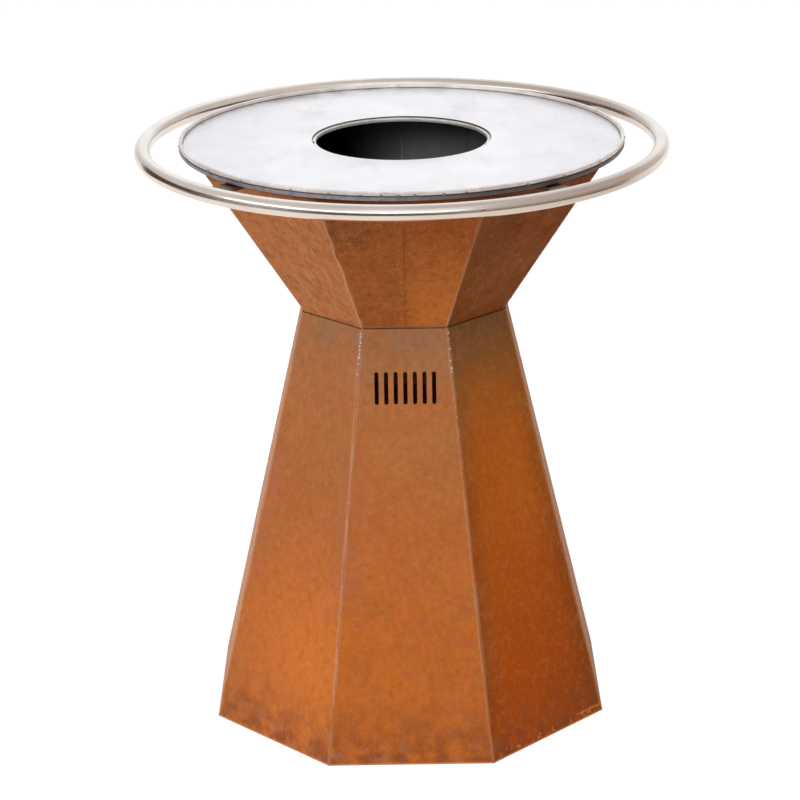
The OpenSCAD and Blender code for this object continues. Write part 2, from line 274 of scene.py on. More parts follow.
# The sheet lies half a millimetre below the foot, so that the two never coincide
sheet = bmesh.new()
bmesh.ops.create_grid(sheet, x_segments=1, y_segments=1, size=FLOOR_HALF)
bmesh.ops.translate(sheet, verts=sheet.verts, vec=(0, 0, -MM / 2))
floor = as_object(sheet, "floor", paving)
print("floor", tuple(floor.dimensions))

# %% [markdown]
# Three large soft lamps stand in for an open sky: one high at the front left, one low on
# the left and a weaker one high at the right. The two high ones are hidden from reflections.
# Two curved cards stand in their place, and only reflections see those: a dark one for
# a hedge round the front of the garden, paler at the right and higher at the left, and
# a bright one for the low sky above it.

# %% Lamps and hedge
AIM = Vector((0, 0, 0.7))
CARD_R = 4.2


def soft_lamp(name, spot, size, watts):
    """A square area lamp at a spot, turned towards the grill."""
    lamp = bpy.data.lights.new(name, "AREA")
    lamp.size = size
    lamp.energy = watts
    holder = bpy.data.objects.new(name, lamp)
    scene.collection.objects.link(holder)
    holder.location = spot
    holder.rotation_euler = (AIM - Vector(spot)).to_track_quat("-Z", "Y").to_euler()
    return holder


soft_lamp("sky_front_left", (-1.3, -3.3, 3.3), 2.4, 56).visible_glossy = False
soft_lamp("sky_left", (-4.0, -2.2, 0.7), 2.0, 88)
soft_lamp("sky_right", (2.3, -1.7, 3.8), 2.0, 58).visible_glossy = False


def card_paint(name, strength):
    """A material that glows white, its shader and the x socket of a point on it."""
    paint, tree = empty_material(name)
    glow = add_node(tree, "Emission", {"Color": WHITE, "Strength": strength})
    add_node(tree, "OutputMaterial", {"Surface": glow.outputs[0]})
    place = add_node(tree, "TexCoord").outputs["Object"]
    return paint, glow, add_node(tree, "SeparateXYZ", {0: place}).outputs[0]


def curved_card(name, low, high, material, is_open):
    """Part of a wide cylinder that only reflections see; is_open picks the faces left out."""
    card = bmesh.new()
    bmesh.ops.create_cone(card, cap_ends=False, segments=72, radius1=CARD_R, radius2=CARD_R,
        depth=high - low)
    bmesh.ops.translate(card, verts=card.verts, vec=(0, 0, (low + high) / 2))
    left_out = [face for face in card.faces if is_open(face.calc_center_median())]
    bmesh.ops.delete(card, geom=left_out, context="FACES")
    # The top edge climbs to the left, from 1.5 m beside the axis
    for vert in card.verts:
        if vert.co.z > high - MM and vert.co.x < -1.5:
            vert.co.z += min(0.6, 0.3 * (-1.5 - vert.co.x))
    piece = as_object(card, name, material)
    piece.visible_camera = False
    piece.visible_diffuse = False
    piece.visible_shadow = False


hedge_paint, glow, across = card_paint("hedge_card_paint", 1)
set_inputs(glow, {"Color": lay_over("#4E3A2E", [("#B5A595", 1, band(across, 0.3, 2.0))])})
curved_card("card_hedge", 0, 1.5, hedge_paint,
    lambda spot: spot.y > (2.9 if spot.x < 0 else 1.2))
sky_paint = card_paint("low_sky_card_paint", 1.7)[0]
curved_card("card_low_sky", 1.95, 3.1, sky_paint, lambda spot: spot.y > -0.6 or spot.x > 1.9)
print("lamps: 3, cards: 2")

# %% [markdown]
# Most finishes on this grill are patches over a ground colour: clouds, stains, freckles and
# streaks. A patch mask is a noise pattern whose grain is set by a real size in millimetres,
# cut off softly between two levels. The bounds of all other masks are heights and
# distances in metres, or parts of the outward direction.

# %% Helpers for patterned finishes
def patches(place, size_mm, low, high, stretch=(1, 1, 1), shift=0.0, detail=5):
    """A mask of patches of about size_mm, 0 where the noise is under low and 1 over high."""
    tree = place.id_data
    laid = add_node(tree, "Mapping", {"Vector": place, "Location": (shift, shift * 2, shift * 3),
        "Scale": [part / (size_mm * MM) for part in stretch]})
    grain = add_node(tree, "TexNoise", {"Vector": laid.outputs[0], "Scale": 1, "Detail": detail,
        "Roughness": 0.58})
    return band(grain.outputs[0], low, high)


def near(place, spot, reach, core):
    """A soft round mask, 1 within core of a spot and 0 from reach on."""
    gap = add_node(place.id_data, "VectorMath", {0: place, 1: spot}, operation="DISTANCE")
    return band(gap.outputs["Value"], reach, core)


def looking(normal, way, start, end):
    """A mask of the sides that look a given way, from start to end of the dot product."""
    turned = add_node(normal.id_data, "VectorMath", {0: normal, 1: way},
        operation="DOT_PRODUCT")
    return band(turned.outputs["Value"], start, end)


def from_axis(place):
    """The distance of a point from the upright axis of the grill."""
    tree = place.id_data
    plan = add_node(tree, "VectorMath", {0: place, 1: (1, 1, 0)}, operation="MULTIPLY")
    return add_node(tree, "VectorMath", {0: plan.outputs[0]}, operation="LENGTH").outputs["Value"]


def scratch(place, start, end, half_width):
    """A mask of the line between two places, strongest in its middle."""
    tree = place.id_data
    start, end = Vector(start), Vector(end)
    length = (end - start).length
    along = (end - start) / length
    from_start = add_node(tree, "VectorMath", {0: place, 1: start}, operation="SUBTRACT")
    run = add_node(tree, "VectorMath", {0: from_start.outputs[0], 1: along},
        operation="DOT_PRODUCT").outputs["Value"]
    side = add_node(tree, "VectorMath", {0: from_start.outputs[0], 1: along},
        operation="CROSS_PRODUCT")
    off = add_node(tree, "VectorMath", {0: side.outputs[0]}, operation="LENGTH")
    ends = product(band(run, 0, 0.01), band(run, length, length - 0.01))
    return product(band(off.outputs["Value"], half_width, half_width / 3), ends)


def new_finish(name):
    """A material, its node tree, the place of a point on it and its shader."""
    finish, tree = empty_material(name)
    shader = add_node(tree, "BsdfPrincipled")
    add_node(tree, "OutputMaterial", {"Surface": shader.outputs[0]})
    return finish, tree, add_node(tree, "TexCoord").outputs["Object"], shader


print("helpers ready")

# %% [markdown]
# Corners of the octagons wear differently from the faces: they were ground after welding and
# rubbed pale in handling. The mask for them folds the angle round the upright axis into
# one half face, and measures the distance along the face to the nearest corner.

# %% Distance to the nearest corner of the octagon
def corner_distance(place):
    """The distance along a face to the nearest corner, and the place's x, y and z sockets."""
    tree = place.id_data
    parts = add_node(tree, "SeparateXYZ", {0: place})
    angle = add_node(tree, "Math", {0: parts.outputs[1], 1: parts.outputs[0]},
        operation="ARCTAN2")
    folded = add_node(tree, "Math", {0: angle.outputs[0], 1: HALF_FACE}, operation="PINGPONG")
    across = add_node(tree, "Math", {0: folded.outputs[0]}, operation="COSINE")
    along = add_node(tree, "Math", {0: folded.outputs[0]}, operation="SINE")
    reach = product(across.outputs[0], math.tan(HALF_FACE))
    rest = add_node(tree, "Math", {0: reach, 1: along.outputs[0]}, operation="SUBTRACT")
    return product(rest.outputs[0], from_axis(place)), parts.outputs


print("half a face spans", math.degrees(HALF_FACE), "degrees")

# %% [markdown]
# Weathering steel is rolled sheet whose rust closes into a firm skin. The skin of the base is
# orange-brown, pinker and greyer towards the top, more orange below, stained red near the
# ground and freckled with pale and dark specks 3 to 5 mm across. It is matt and dusty, so
# the shader has a low specular level, a roughness near 0.6 and a little sheen, which
# lightens a panel that is seen almost edge on.

# %% Weathering steel of the base, and where its skin differs
weathered_base, tree, place, shader = new_finish("weathering_steel_sheet_base")
normal = place.node.outputs["Normal"]
edge, (aside, _, height) = corner_distance(place)
top = band(height, 0.22, 0.68)
low = band(height, 0.50, 0.15)
under_bowl = band(height, 0.600, 0.715)
foot = band(height, 0.11, 0.01)
wander = patches(place, 90, 0.32, 0.60, shift=4.0)
near_corner = band(edge, 0.045, 0.002)
rubbed = band(edge, 0.0050, 0.0010)
# The panels that face right; painted shade makes them a darker, deeper orange
right_facing = looking(normal, (0.924, -0.383, 0), 0.55, 0.85)
# The two panels that are seen almost edge on get a dusty sheen and a pale painted sheen, and the
# top edges get painted shade
facing, _, upward = add_node(tree, "SeparateXYZ", {0: normal}).outputs
sideways = add_node(tree, "Math", {0: facing}, operation="ABSOLUTE").outputs[0]
side_panels = band(sideways, 0.93, 0.96)
# Painted light: low on the front left panel the skin is painted a brighter orange, most of all by
# the front corner
left_light_pool = near(place, (-0.19, -0.29, 0.15), 0.26, 0.03)
left_panel = product(band(facing, -0.40, -0.60), band(facing, -0.90, -0.80))
far_right = band(aside, 0.21, 0.33)
# Beside the left corner of the front panel the skin is pinker, halfway up
front_left_strip = product(band(height, 0.22, 0.30), band(aside, -0.03, -0.10), near_corner,
    band(height, 0.56, 0.44))
# A boot or a broom has scratched the foot at the right
foot_scratch = scratch(place, (0.288, -0.186, 0.0125), (0.3345, -0.1395, 0.0125), 1.4 * MM)
print("masks of the base:", len(tree.nodes), "nodes")

# %% [markdown]
# The colours of the base are laid over the young orange skin from large to small: drifts
# over a whole panel first, then clouds of 50 to 200 mm, stains near the mouth and the foot,
# specks, the rubbed corners, and last the bright edge at the floor. Painted shade, light and
# sheen lie among them. Each layer has a share, because a real stain lets the skin below it show.

# %% Colours of the base
colour = lay_over("#C26A2C", [
    ("#B07548", 0.85, top),
    ("#B2622E", 0.45, patches(place, 190, 0.44, 0.62, shift=1.0)),
    ("#D46C20", 0.30, low),
    ("#D4701F", 0.30, low, patches(place, 130, 0.40, 0.66, shift=2.0)),
    ("#9C6038", 0.32, left_panel),
    ("#9C5A28", 0.32, patches(place, 48, 0.44, 0.70, shift=3.0)),
    ("#AA7238", 0.28, patches(place, 26, 0.48, 0.66, shift=22.0)),
    ("#C26645", 0.28, patches(place, 32, 0.48, 0.66, shift=23.0)),
    # Painted shade: the panels that face right are painted darker and a deeper orange, more so low
    # down and near their corners
    ("#BE5E08", 0.92, right_facing),
    ("#B84A00", 0.75, right_facing, band(height, 0.42, 0.15)),
    ("#A84A04", 0.35, right_facing, patches(place, 90, 0.42, 0.66, shift=24.0)),
    ("#7A3808", 0.45, right_facing, near_corner),
    ("#957558", 0.70, under_bowl, wander),
    # Painted shade high up on the panels that face right, under the bowl
    ("#8A5826", 0.60, band(height, 0.50, 0.66), right_facing),
    ("#6E4E2C", 0.65, under_bowl, right_facing),
    ("#A0703C", 0.50, near_corner, patches(place, 120, 0.50, 0.64, shift=7.0)),
    # Painted light, low on the front left panel
    ("#E07C34", 0.70, left_light_pool, left_panel),
    # Painted sheen: the two panels seen almost edge on are painted pale
    ("#F4AE7E", 0.45, side_panels),
    # Painted shade towards the far right of the panels that face right
    ("#7A3A0C", 0.45, right_facing, far_right),
    ("#8A7048", 0.45, near(place, (-0.134, -0.110, 0.700), 32 * MM, 8 * MM)),
    ("#84766C", 0.55, near(place, (-0.079, -0.171, 0.706), 13 * MM, 3.25 * MM)),
    ("#E09050", 0.16, patches(place, 11, 0.48, 0.68, shift=35.0)),
    ("#8A4A26", 0.24, patches(place, 13, 0.48, 0.68, shift=36.0)),
    ("#B06A4C", 0.55, front_left_strip, patches(place, 40, 0.36, 0.56, shift=39.0)),
    ("#84442A", 0.75, foot, patches(place, 30, 0.40, 0.60, shift=5.0)),
    ("#A87460", 0.40, foot, band(facing, 0.3, 0.1), patches(place, 22, 0.52, 0.66, shift=25.0)),
    ("#A8521C", 0.16, patches(place, 9, 0.46, 0.66, (1, 1, 0.30), 6.0)),
    ("#DA9A66", 0.25, patches(place, 5, 0.60, 0.72, shift=8.0)),
    ("#83481C", 0.35, patches(place, 6, 0.60, 0.72, shift=9.0)),
    ("#D2A486", 0.50, rubbed, patches(place, 30, 0.36, 0.58, (1, 1, 0.3), 10.0)),
    ("#E2A070", 0.60, band(height, 0.0035, 0.0015)),
    ("#E8842E", 0.70, right_facing, band(height, 0.02, 0.01),
        patches(place, 8, 0.54, 0.64, shift=38.0)),
    ("#E89450", 0.80, foot_scratch),
    # Painted shade on the top edges of the sheets, under the bowl
    ("#24160C", 1, band(upward, 0.70, 0.90), band(height, 0.70, 0.71)),
])
# The grain of the rust, drawn a little coarser than life so that it shows
PIT_MM = 3
pits = add_node(tree, "Bump", {"Height": patches(place, PIT_MM, 0.3, 0.75), "Strength": 0.35,
    "Distance": 0.4 * MM})
set_inputs(shader, {
    "Base Color": colour,
    "Roughness": spread(patches(place, 25, 0.3, 0.7), 0.50, 0.66),
    "Normal": pits.outputs[0],
    "Specular IOR Level": 0.06,
    "Sheen Weight": spread(side_panels, 0.22, 0.9),
    "Sheen Roughness": 0.4,
    "Sheen Tint": linear("#F6CCAE"),
})
print(weathered_base.name, "nodes:", len(tree.nodes))

# %% [markdown]
# The bowl is the same steel, but the fire has been at it: its skin is darker and redder, with
# dark clouds under the rim, long pale scratches down one sheet, winding water marks, dust
# where it goes into the base, and grey inner faces. Its front left face carries painted light,
# its top a painted shadow, and its inner faces painted shade at the left. An inner face is one
# whose normal looks towards the upright axis, so the sign of a dot product finds it.

# %% Weathering steel of the bowl, and where its skin differs
weathered_bowl, tree, place, shader = new_finish("weathering_steel_sheet_bowl")
normal = place.node.outputs["Normal"]
edge, (across, _, height) = corner_distance(place)
plan = add_node(tree, "VectorMath", {0: place, 1: (1, 1, 0)}, operation="MULTIPLY")
inside = looking(normal, plan.outputs[0], -0.01, -0.03)
under_rim = band(height, 0.86, 0.98)
rubbed = band(edge, 0.0065, 0.0015)
# Painted shade: the inner faces at the left of the middle lie in shade and are painted black
shaded_inner_left = band(across, 0.02, -0.10)
# The front and the back are each two sheets, and their seams are not dressed inside
from_seam = add_node(tree, "Math", {0: across}, operation="ABSOLUTE").outputs[0]
seam = product(band(from_seam, 2.0 * MM, 0.8 * MM), band(height, 0.938, 0.924),
    patches(place, 7, 0.36, 0.48, shift=37.0))
left_face = looking(normal, (-0.707, -0.707, 0), 0.66, 0.80)
front_face = looking(normal, (0, -1, 0), 0.66, 0.80)
right_face = looking(normal, (0.707, -0.707, 0), 0.66, 0.80)
# Something hard was once dragged down the front left sheet. Each mark has a start, an end
# and half a width in millimetres
DRAG_MARKS = [
    ((-0.177, -0.204, 0.891), (-0.100, -0.145, 0.729), 1.5),
    ((-0.199, -0.193, 0.903), (-0.182, -0.198, 0.888), 1.5),
    ((-0.155, -0.223, 0.887), (-0.144, -0.213, 0.863), 1.8),
    ((-0.166, -0.161, 0.827), (-0.142, -0.151, 0.785), 1.3),
    ((-0.133, -0.205, 0.839), (-0.104, -0.182, 0.775), 1.1),
]
worn = product(left_face, patches(place, 14, 0.38, 0.56, shift=20.0))
# Finer scratches run down the same sheet, a few degrees off its fall line
down_line = add_node(tree, "VectorMath", {0: place, 1: (0.436, 0.284, -0.854)},
    operation="DOT_PRODUCT")
off_line = add_node(tree, "VectorMath", {0: place, 1: (0.664, -0.742, 0.092)},
    operation="DOT_PRODUCT")
on_sheet = add_node(tree, "CombineXYZ", {0: off_line.outputs["Value"],
    2: down_line.outputs["Value"]}).outputs[0]
long_lines = patches(on_sheet, 3.0, 0.63, 0.72, (1, 1, 0.014), 21.0, detail=1)
short_lines = product(patches(on_sheet, 2.6, 0.56, 0.66, (1, 1, 0.06), 27.0, detail=1),
    patches(place, 60, 0.50, 0.60, shift=26.0))
# Where water has run and dried, the level lines of a coarse noise give thin winding marks
level = add_node(tree, "TexNoise", {"Vector": place, "Scale": 30, "Detail": 1})
above_level = add_node(tree, "Math", {0: level.outputs[0], 1: 0.5}, operation="SUBTRACT")
from_level = add_node(tree, "Math", {0: above_level.outputs[0]}, operation="ABSOLUTE")
winding = product(band(from_level.outputs[0], 0.016, 0.004),
    patches(place, 35, 0.50, 0.60, shift=28.0))
lower_right = product(front_face, band(across, -0.015, 0.03), band(height, 0.92, 0.76))
by_corner = product(right_face, band(across, 0.20, 0.10))
cloud = product(near(place, (-0.10, -0.30, 0.94), 0.09, 0.03),
    patches(place, 22, 0.40, 0.60, shift=29.0))
dust = product(front_face, band(height, base_height + 0.001, base_height + 0.002),
    band(height, base_height + 0.007, base_height + 0.004))
print("masks of the bowl:", len(tree.nodes), "nodes")

# %% [markdown]
# The bowl's colours follow the same order, and its inner faces come last: the bare grey that
# the fire leaves, black painted shade over it at the left, and the pale line of the undressed
# seam. Soot takes the shine away, so the specular level drops where a face looks inwards.

# %% Colours of the bowl
colour = lay_over("#B2622C", [
    ("#A04E20", 0.70, patches(place, 120, 0.44, 0.62, shift=11.0)),
    ("#C07034", 0.60, patches(place, 70, 0.48, 0.64, shift=12.0)),
    ("#8E5028", 0.70, under_rim, patches(place, 60, 0.40, 0.62, shift=13.0)),
    ("#844618", 0.45, patches(place, 26, 0.50, 0.66, shift=14.0)),
    ("#C06C3C", 0.42, front_face),
    # Painted light: the front left face of the bowl is painted lighter
    ("#DA905E", 0.55, left_face),
    ("#9A5A1C", 0.50, by_corner),
    ("#9A5A34", 0.45, left_face, patches(place, 18, 0.50, 0.62, shift=19.0)),
    ("#B84E1E", 0.30, front_face, band(across, -0.01, 0.03)),
    ("#F08E3E", 0.65, lower_right),
    ("#D88A48", 0.22, patches(place, 10, 0.46, 0.66, shift=33.0)),
    ("#7E4420", 0.30, patches(place, 12, 0.46, 0.66, shift=34.0)),
    ("#5E4634", 0.60, cloud, front_face),
    ("#D08F58", 0.35, patches(place, 6, 0.62, 0.74, shift=15.0)),
    ("#DE9A5A", 0.50, front_face, patches(place, 4, 0.57, 0.68, shift=16.0)),
    ("#D2915E", 0.42, winding),
    ("#E0A884", 0.45, long_lines, left_face),
    ("#DDA27C", 0.50, short_lines, left_face),
    *[("#E8AC88", 0.70, scratch(place, start, end, half_width * MM), worn)
        for start, end, half_width in DRAG_MARKS],
    ("#CB9A76", 0.50, rubbed, patches(place, 25, 0.40, 0.60, (1, 1, 0.4), 17.0)),
    ("#B48A58", 0.50, dust),
    # Painted shadow: a dark band at the top of the bowl, under the griddle plate and the rail
    ("#522A12", 0.78, band(height, 0.968, 0.990)),
    ("#9A999D", 0.97, inside),
    ("#A9A7A6", 0.55, inside, patches(place, 55, 0.50, 0.66, shift=18.0)),
    # Painted shade: black on the inner faces at the left
    ("#0B0B0A", 0.99, inside, shaded_inner_left),
    ("#B4B2AE", 0.85, inside, seam),
])
pits = add_node(tree, "Bump", {"Height": patches(place, PIT_MM, 0.3, 0.75), "Strength": 0.4,
    "Distance": 0.4 * MM})
set_inputs(shader, {
    "Base Color": colour,
    "Roughness": spread(patches(place, 20, 0.3, 0.7), 0.50, 0.68),
    "Normal": pits.outputs[0],
    "Specular IOR Level": spread(inside, 0.06, 0.005),
})
print(weathered_bowl.name, "nodes:", len(tree.nodes))

# %% [markdown]
# Hot-rolled flat bar and sheet leave the mill with a blue-black scale, which turns a dull olive
# brown outdoors. It covers the arms, the lugs and everything in the fire. The scale is
# smoother than rust, so it gets a lower roughness, with rust where it has flaked.

# %% Mill scale
mill_scale, tree, place, shader = new_finish("hot_rolled_mill_scale")
colour = lay_over("#5E4A39", [
    ("#453C34", 0.7, patches(place, 30, 0.42, 0.62, shift=30.0)),
    ("#7A4A2C", 0.7, patches(place, 16, 0.54, 0.66, shift=31.0)),
    ("#7D5A42", 0.6, patches(place, 4, 0.62, 0.70, shift=32.0)),
    # Painted light: outside the griddle's edge, out of its shade, the arms are painted a little
    # brighter
    ("#A48C72", 0.65, band(from_axis(place), 0.368, 0.380)),
])
flakes = add_node(tree, "Bump", {"Height": patches(place, 5, 0.45, 0.55), "Strength": 0.3,
    "Distance": 0.2 * MM})
set_inputs(shader, {
    "Base Color": colour,
    "Roughness": spread(patches(place, 12, 0.3, 0.7), 0.38, 0.62),
    "Normal": flakes.outputs[0],
})
print(mill_scale.name, "nodes:", len(tree.nodes))

# %% [markdown]
# The griddle plate is plain steel, ground bright on top. Grinding leaves a cloudy mirror: a
# metal shader with a roughness that drifts between 0.26 and 0.40. The cut edge of the plate
# was never ground and is dull blue-grey, and its underside is dark from the fire. The
# object-space normal tells the three apart.

# %% Ground plate
ground_plate, tree, place, shader = new_finish("ground_steel_plate")
upward = add_node(tree, "SeparateXYZ", {0: place.node.outputs["Normal"]}).outputs[2]
below_top = band(upward, 0.75, 0.35)
underside = band(upward, -0.6, -0.9)
across, _, height = add_node(tree, "SeparateXYZ", {0: place}).outputs
# The ground face is a little darker towards its left and right
to_side = add_node(tree, "Math", {0: across}, operation="ABSOLUTE").outputs[0]
# Painted shade: a dark ring in the corner where the rim hoop stands on the plate
crevice = band(from_axis(place), rim_high.x - 8 * MM, rim_high.x - 7 * MM)
colour = lay_over("#FCFBFF", [
    ("#F1F0F6", 0.7, patches(place, 160, 0.42, 0.62, shift=40.0)),
    ("#F6F5F8", 0.6, patches(place, 110, 0.50, 0.64, shift=41.0)),
    ("#DCDBE0", 0.45, patches(place, 60, 0.54, 0.70, (1, 0.4, 1), 42.0)),
    ("#E6E5EC", 0.55, band(to_side, 0.16, 0.32)),
    ("#4A4643", 0.7, crevice),
    ("#AEB0BC", 1, below_top),
    ("#6A6058", 0.90, below_top, band(across, -0.08, 0.12)),
    ("#7A767A", 0.5, below_top, patches(place, 14, 0.46, 0.60, shift=43.0)),
    # Painted shade: a dark line along the top of the cut edge, under the rim hoop
    ("#2C2A34", 0.8, below_top, band(height, plate_high.z - 2.2 * MM, plate_high.z - 1.6 * MM)),
    ("#3B3430", 0.9, underside),
])
cloudy = spread(patches(place, 80, 0.35, 0.65, shift=44.0), 0.26, 0.40)
rough = add_node(tree, "Math", {0: cloudy, 1: product(below_top, 0.15)}, operation="ADD")
grit = add_node(tree, "Bump", {"Height": patches(place, 2.5, 0.3, 0.7, (1, 0.1, 1)),
    "Strength": 0.08, "Distance": 0.1 * MM})
set_inputs(shader, {
    "Base Color": colour,
    "Roughness": rough.outputs[0],
    "Normal": grit.outputs[0],
    "Metallic": 1,
})
print(ground_plate.name, "nodes:", len(tree.nodes))

# %% [markdown]
# The two hoops are bright drawn square bar, nearly white. Welding heat has tinted the
# bar near each tack, first straw, then brown. The pieces carry a number called heat on
# their points for that, and the finish reads it.

# %% Bright drawn bar
drawn_bar, tree, place, shader = new_finish("bright_drawn_bar")
heat = add_node(tree, "Attribute", attribute_name="heat").outputs["Fac"]
colour = lay_over("#F0EDEA", [
    ("#D6D0CB", 0.8, patches(place, 45, 0.42, 0.62, shift=50.0)),
    ("#FAF8F6", 0.6, patches(place, 20, 0.52, 0.66, shift=51.0)),
    ("#9C8670", 0.75, band(heat, 0.15, 0.6)),
    ("#6A5142", 0.75, band(heat, 0.6, 1.0)),
])
set_inputs(shader, {
    "Base Color": colour,
    "Roughness": spread(patches(place, 15, 0.3, 0.7), 0.34, 0.48),
    "Metallic": 0.7,
})
print(drawn_bar.name, "nodes:", len(tree.nodes))

# %% [markdown]
# The rail is stainless tube, polished to a satin. Polishing runs along the tube, so the fine
# lines of the finish follow the ring: they change quickly across the tube and slowly with
# the angle round the axis. The right half of the ring is painted a darker beige, a painted
# reflection of its beige surroundings.

# %% Satin stainless tube
satin_tube, tree, place, shader = new_finish("satin_stainless_tube")
across, depth, height = add_node(tree, "SeparateXYZ", {0: place}).outputs
angle = add_node(tree, "Math", {0: depth, 1: across}, operation="ARCTAN2")
# A line is 40 times as long as it is wide
slow = product(angle.outputs[0], RAIL_R / 40)
along = add_node(tree, "CombineXYZ", {0: from_axis(place), 1: height, 2: slow})
heat = add_node(tree, "Attribute", attribute_name="heat").outputs["Fac"]
lines = patches(along.outputs[0], 0.9, 0.30, 0.70, shift=60.0)
colour = lay_over("#F6F2EE", [
    # Painted reflection: the right half of the ring is painted a darker beige
    ("#CFC5BD", 1, band(across, -0.05, 0.30), band(across, 0.445, 0.36)),
    ("#E2DAD3", 0.3, lines),
    ("#D8CFC9", 0.3, patches(place, 70, 0.45, 0.65, shift=61.0)),
    ("#A8835F", 0.7, heat),
])
set_inputs(shader, {"Base Color": colour, "Roughness": spread(lines, 0.16, 0.24), "Metallic": 1})
print(satin_tube.name, "nodes:", len(tree.nodes))

# %% [markdown]
# Weld metal is laid molten and freezes in ripples. On the steel corners it has been ground
# and has rusted pale, palest where the base's spatter sits; its inner side is dark grey in the
# base and grey in the bowl, with painted black shade inside the bowl at the left and a painted
# shadow near the bowl's top. The tacks of the griddle are grey, and some of them rusty. Two
# finishes cover that, and the tack finish reads a number called rust from its points.

# %% Weld metal
pale_weld, tree, place, shader = new_finish("ground_weld_bead")
across, _, height = add_node(tree, "SeparateXYZ", {0: place}).outputs


def depth_in(foot, slope, start, end):
    """A mask from start to end of the depth below the corner line of a pyramid."""
    outer = add_node(tree, "Math", {0: height, 1: slope * CORNER, 2: foot * CORNER},
        operation="MULTIPLY_ADD")
    depth = add_node(tree, "Math", {0: outer.outputs[0], 1: from_axis(place)},
        operation="SUBTRACT")
    return band(depth.outputs[0], start, end)


above = band(height, base_height - MM, base_height)
below = band(height, base_height, base_height - MM)
# The inner side of a bead, and the drops that stand out beyond it
inner_bowl = product(above, depth_in(bowl_foot, bowl_slope, 1.8 * MM, 2.2 * MM))
inner_base = depth_in(base_foot, base_slope, 2.2 * MM, 2.6 * MM)
proud = depth_in(base_foot, base_slope, -0.20 * MM, -0.70 * MM)
colour = lay_over("#B8703E", [
    ("#CE9A76", 0.55, patches(place, 40, 0.44, 0.60, (1, 1, 0.5), 70.0)),
    ("#E6CDB8", 0.30, below, patches(place, 7, 0.56, 0.68, shift=71.0)),
    ("#A07250", 0.60, band(height, 0.58, 0.64), below),
    ("#E8A070", 0.75, above),
    ("#A45C2A", 0.60, band(across, 0.04, 0.12)),
    ("#B07450", 0.45, band(height, 0.87, 0.92)),
    ("#E6CCB6", 0.75, proud, below),
    # Painted shadow near the top of the bowl's beads, under the griddle plate
    ("#3A2A20", 0.85, band(height, 0.950, 0.975)),
    ("#8E8C8B", 0.97, inner_bowl),
    # Painted shade: black on the inner side of the bowl's beads at the left
    ("#0B0B0A", 0.99, inner_bowl, band(across, 0.02, -0.10)),
    ("#4A4645", 0.95, inner_base, below),
])
set_inputs(shader, {
    "Base Color": colour,
    "Roughness": 0.6,
    "Specular IOR Level": 0.08,
    "Sheen Weight": 0.16,
    "Sheen Roughness": 0.4,
    "Sheen Tint": linear("#F2D6C2"),
})

tack_metal, tree, place, shader = new_finish("tack_weld_metal")
rust = add_node(tree, "Attribute", attribute_name="rust").outputs["Fac"]
colour = lay_over("#98928B", [
    ("#4E4843", 0.7, patches(place, 4, 0.45, 0.60, shift=72.0)),
    ("#8A4B28", 1, rust),
])
metal = add_node(tree, "Math", {0: 0.85, 1: rust}, operation="SUBTRACT", use_clamp=True)
set_inputs(shader, {"Base Color": colour, "Metallic": metal.outputs[0], "Roughness": 0.42})
print("weld finishes:", pale_weld.name, tack_metal.name)

# %% [markdown]
# Sheets, floor, grate and ash pan keep their CAD solids, because flat-cut steel is what those
# solids show. They only need their finishes, and the slots of the record say which
# solid gets which.

# %% Finishes on the CAD solids
FINISH_OF_SLOT = {
    "weathering_steel_base": weathered_base,
    "weathering_steel_bowl": weathered_bowl,
    "raw_steel": mill_scale,
    "griddle_steel": ground_plate,
    "hoop_steel": drawn_bar,
    "stainless_tube": satin_tube,
}
for row in frame["record"]["subparts"]:
    solid = frame["nodes"][row["node"]]
    solid.data.materials.clear()
    solid.data.materials.append(FINISH_OF_SLOT[row["material_slot"]])

# %% [markdown]
# New pieces are turned, rolled or welded shapes. The rings come from a small profile that is
# spun once round the upright axis. A helper closes each piece: it makes the mesh, smooths
# it up to a given angle, hands it to its body and hides the plain solid it stands for.

# %% Helpers for new pieces
SMOOTH_UP_TO = math.radians(40)


def finish_piece(mesh, name, body, material, stands_for=()):
    """Makes the object of a bmesh, with its finish and body."""
    piece = as_object(mesh, name, material)
    piece.data.shade_smooth()
    piece.data.set_sharp_from_angle(angle=SMOOTH_UP_TO)
    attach(piece, body)
    if stands_for:
        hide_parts(*stands_for)
    print(name, "faces:", len(piece.data.polygons))


def spin(mesh, steps):
    """Spins everything in a bmesh once round the upright axis, in a number of steps."""
    bmesh.ops.spin(mesh, geom=mesh.verts[:] + mesh.edges[:], cent=(0, 0, 0), axis=(0, 0, 1),
        dvec=(0, 0, 0), angle=math.tau, steps=steps, use_merge=True)
    bmesh.ops.recalc_face_normals(mesh, faces=mesh.faces[:])


def spun_ring(corners, soft_edge, steps):
    """A bmesh ring from the (radius, height) corners of its profile, edges softened first."""
    mesh = bmesh.new()
    mesh.faces.new([mesh.verts.new((r, 0, z)) for r, z in corners])
    bmesh.ops.bevel(mesh, geom=mesh.verts[:], offset=soft_edge, segments=3, profile=0.5,
        affect="VERTICES", material=-1)
    bmesh.ops.delete(mesh, geom=mesh.faces[:], context="FACES_ONLY")
    spin(mesh, steps)
    return mesh


def box_corners(inner, outer, low, high):
    """The corners of a square profile between two radii and two heights."""
    return [(inner, low), (outer, low), (outer, high), (inner, high)]


def turned(angle, spot):
    """The matrix that moves a piece to a spot and turns it round the upright axis."""
    return Matrix.Rotation(angle, 4, "Z") @ Matrix.Translation(spot)


def bead_angles(node, gap):
    """The middle angle of each weld bead in a CAD solid; beads lie more than gap degrees apart."""
    spots = sorted(math.atan2(v.co.y, v.co.x) for v in frame["nodes"][node].data.vertices)
    groups = [[spots[0]]]
    for angle in spots[1:]:
        if angle - groups[-1][-1] > math.radians(gap):
            groups.append([])
        groups[-1].append(angle)
    return [(group[0] + group[-1]) / 2 for group in groups]


